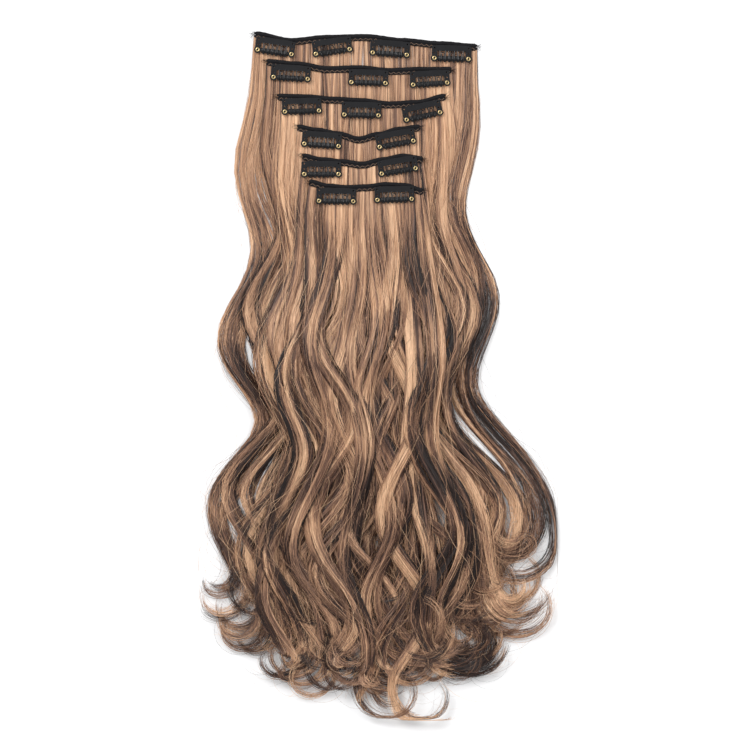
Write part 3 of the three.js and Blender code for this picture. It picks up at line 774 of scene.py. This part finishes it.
def wireHeight(y):  # over the tube, then down past it
    c = clip
    tip, bar = c["wireEnds"]
    return np.interp(y, [-c["toothReach"], c["crestAt"], c["wireBack"]], [tip, c["crest"], bar])


def toothPair(x):  # one bent wire: down, round the tip, up, over to the next tooth and back to the bar
    c = clip
    spread, wire, rise = c["legSpread"], c["wire"], c["archHeight"]
    nextX, tip, spring = x + c["toothPitch"], -c["toothReach"] + wire, c["archTop"] - rise
    bar = c["barTop"] - c["barHeight"] + c["wireTuck"]
    legs = np.linspace(bar, tip + spread, 9)
    bend = np.linspace(0, math.pi, 8)[1:-1]
    flat = [[x - spread, y] for y in legs]
    flat += [[x - spread * math.cos(a), tip + spread - spread * math.sin(a)] for a in bend]
    flat += [[x + spread, y] for y in np.linspace(tip + spread, spring, 8)]
    half = (c["toothPitch"] - 2 * spread) / 2
    flat += [[x + spread + half - half * math.cos(a), spring + rise * math.sin(a)] for a in bend]
    flat += [[nextX - spread, y] for y in np.linspace(spring, tip + spread, 8)]
    flat += [[nextX - spread * math.cos(a), tip + spread - spread * math.sin(a)] for a in bend]
    flat += [[nextX + spread, y] for y in legs[::-1]]
    flat = np.array(flat)
    return tubeAlong(np.column_stack([flat, wireHeight(flat[:, 1])]), wire, 8)


def plateTemplate():
    c = clip
    first = -(c["teeth"] - 1) / 2 * c["toothPitch"]
    skins = [toothPair(first + pair * 2 * c["toothPitch"]) for pair in range(c["teeth"] // 2)]
    teeth = joinSkins("teeth", skins)
    teeth.transform(Matrix.Scale(1 / mm, 4))
    both = bmesh.new()
    both.from_mesh(flatPlate())
    both.from_mesh(teeth)
    bmesh.ops.recalc_face_normals(both, faces=both.faces)
    mesh = bpy.data.meshes.new("snapPlate")
    both.to_mesh(mesh)
    both.free()
    return mesh


def tubeTemplate():
    c = clip
    rim = np.array([0.0, 0.15, 0.5, 1.2])
    middle = np.linspace(2.4, c["tubeLength"] - 2.4, 9)
    run = np.concatenate([rim, middle, c["tubeLength"] - rim[::-1]])
    size = np.interp(np.minimum(run, c["tubeLength"] - run), rim, [0.72, 0.88, 0.97, 1.0])[:, None]
    angles = np.arange(c["tubeSides"]) * 2 * np.pi / c["tubeSides"]
    height = -c["stripDrop"] - c["stripThickness"] / 2
    path = np.column_stack([run - c["tubeLength"] / 2, 0 * run, 0 * run + height])
    return sweep(path, size * np.cos(angles) * c["tubeHeight"] / 2,
                 size * np.sin(angles) * c["tubeThickness"] / 2)


def stripTemplate():
    c = clip
    reach = c["eyeletSpacing"] / 2 + c["stripWidth"] / 2
    rim = np.array([0.0, 0.25, 0.8])
    straight = np.linspace(-c["stripHalf"], c["stripHalf"], 7)
    run = np.concatenate([rim - reach, straight, reach - rim[::-1]])
    size = np.interp(reach - np.abs(run), [0, 0.25, 0.8, 1.3], [0.45, 0.75, 0.93, 1.0])[:, None]
    angles = (np.arange(c["stripSides"]) + 0.5) * 2 * np.pi / c["stripSides"]
    boxy = np.sign(np.cos(angles)) * np.abs(np.cos(angles)) ** 0.35
    thin = np.sign(np.sin(angles)) * np.abs(np.sin(angles)) ** 0.6
    path = np.column_stack([run, 0 * run, 0 * run - c["stripDrop"] - c["stripThickness"] / 2])
    return sweep(path, size * boxy * c["stripWidth"] / 2, 0 * size + thin * c["stripThickness"] / 2)


def eyeletTemplate():
    c = clip
    top = c["thickness"] + c["eyeletStand"]
    hole, face = c["eyeletHole"], c["thickness"]
    # radius and height, round the section of one eyelet
    profile = [(hole, -0.9), (hole, top - 0.4), (hole + 0.1, top - 0.15), (hole + 0.3, top), (1.4, top),
               (1.75, top - 0.1), (1.88, top - 0.26), (1.9, face + 0.02), (1.6, face), (1.6, -0.9)]
    sides = c["eyeletSides"]
    turn = np.arange(sides) * 2 * np.pi / sides
    skins = []
    for side in (-1, 1):
        middle = side * c["eyeletSpacing"] / 2
        rings = [[r * np.cos(turn) + middle, r * np.sin(turn), 0 * turn + z] for r, z in profile]
        points = np.array(rings).transpose(0, 2, 1).reshape(-1, 3)
        ring, corner = np.meshgrid(np.arange(len(profile)), np.arange(sides), indexing="ij")
        after, following = (ring + 1) % len(profile), (corner + 1) % sides
        quads = np.stack([ring * sides + corner, ring * sides + following,
                          after * sides + following, after * sides + corner], -1)
        skins.append((points, quads.reshape(-1, 4), []))
    return skins


# each with its scale, finish, slot and the part of the clip that it stands for
templates = {
    "snapPlate": (plateTemplate(), mm, "plate", "plate", ("plate",)),
    "snapTube": (joinSkins("snapTube", [tubeTemplate()]), 1.0, "tube", "tube", ("tube",)),
    "snapStrip": (joinSkins("snapStrip", [stripTemplate()]), 1.0, "plate", "plate", ("bow",)),
    "snapEyelets": (joinSkins("snapEyelets", eyeletTemplate()), 1.0, "rivet", "rivet", ()),
}
for index, weft in enumerate(wefts):
    for order, (_, tilt) in enumerate(weft["clips"]):
        label = f"{index + 1}_{order + 1}"
        low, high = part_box(f"clip_{label}_bow")
        seat = low[2] + (clip["stripDrop"] + clip["stripThickness"]) * mm
        spot = Matrix.Translation(((low[0] + high[0]) / 2, (low[1] + high[1]) / 2, seat))
        spot = spot @ Matrix.Rotation(math.radians(tilt), 4, "Z")
        for name, (template, scale, finish, slot, parts) in templates.items():
            mesh = template.copy()
            mesh.transform(spot @ Matrix.Scale(scale, 4))
            mesh.polygons.foreach_set("use_smooth", np.full(len(mesh.polygons), name != "snapPlate"))
            solids = [f"clip_{label}_{part}" for part in parts]
            place(mesh, f"{name}_{label}", finish, slot, *solids)
print("clips riveted,", sum(len(t[0].polygons) * 2 for t in templates.values()), "triangles each, about")

# stage
studio = {
    "distance": 3.0, "frameWidth": 0.675, "middle": (9.0, -305.1),  # the middle of the photograph, in mm
    "sensor": 36.0, "hairLevel": 0.012, "sight": 50.0, "floorHalf": 9e3, "fill": 0.66,
    "keyLight": ((-1.1, 1.3, 2.0), 1.3, 44.0), "rimLight": ((1.5, 0.4, 1.4), 0.7, 13.2),
}

corners = np.array([[-1, -1, 0], [1, -1, 0], [1, 1, 0], [-1, 1, 0]]) * studio["floorHalf"]
floor = bpy.data.objects.new("floor", meshFrom("floor", corners, np.array([[0, 1, 2, 3]])))
bpy.context.scene.collection.objects.link(floor)
paper = Finish("paperWhite", Specular_IOR_Level=0.1)
paper.send(paper.mix(paper.grain(3.0), (0.93, 0.93, 0.935, 1), (0.95, 0.95, 0.955, 1)), "Base Color")
paper.send(paper.grain(40.0) * 0.1 + 0.8, "Roughness")
floor.data.materials.append(paper.material)

camera = bpy.data.objects.new("camera", bpy.data.cameras.new("camera"))
bpy.context.scene.collection.objects.link(camera)
overX, overY = studio["middle"]
camera.location = ((overX + shiftX) * mm, (overY + shiftY) * mm, studio["distance"])
camera.data.sensor_width = studio["sensor"]
camera.data.lens = studio["sensor"] * (studio["distance"] - studio["hairLevel"]) / studio["frameWidth"]
camera.data.clip_end = studio["sight"]
bpy.context.scene.camera = camera


def softbox(name, where, size, power):
    lamp = bpy.data.lights.new(name, "AREA")
    lamp.energy, lamp.size = power, size
    holder = bpy.data.objects.new(name, lamp)
    bpy.context.scene.collection.objects.link(holder)
    holder.location = where
    aim = -holder.location
    holder.rotation_euler = aim.to_track_quat("-Z", "Y").to_euler()


for name in ("keyLight", "rimLight"):
    softbox(name, *studio[name])
world = bpy.data.worlds.new("studio")
world.use_nodes = True
backdrop = world.node_tree.nodes["Background"]
backdrop.inputs["Color"].default_value = (1.0, 1.0, 1.0, 1.0)
backdrop.inputs["Strength"].default_value = studio["fill"]
bpy.context.scene.world = world
bpy.context.scene.view_settings.view_transform = "Standard"
print("stage set")
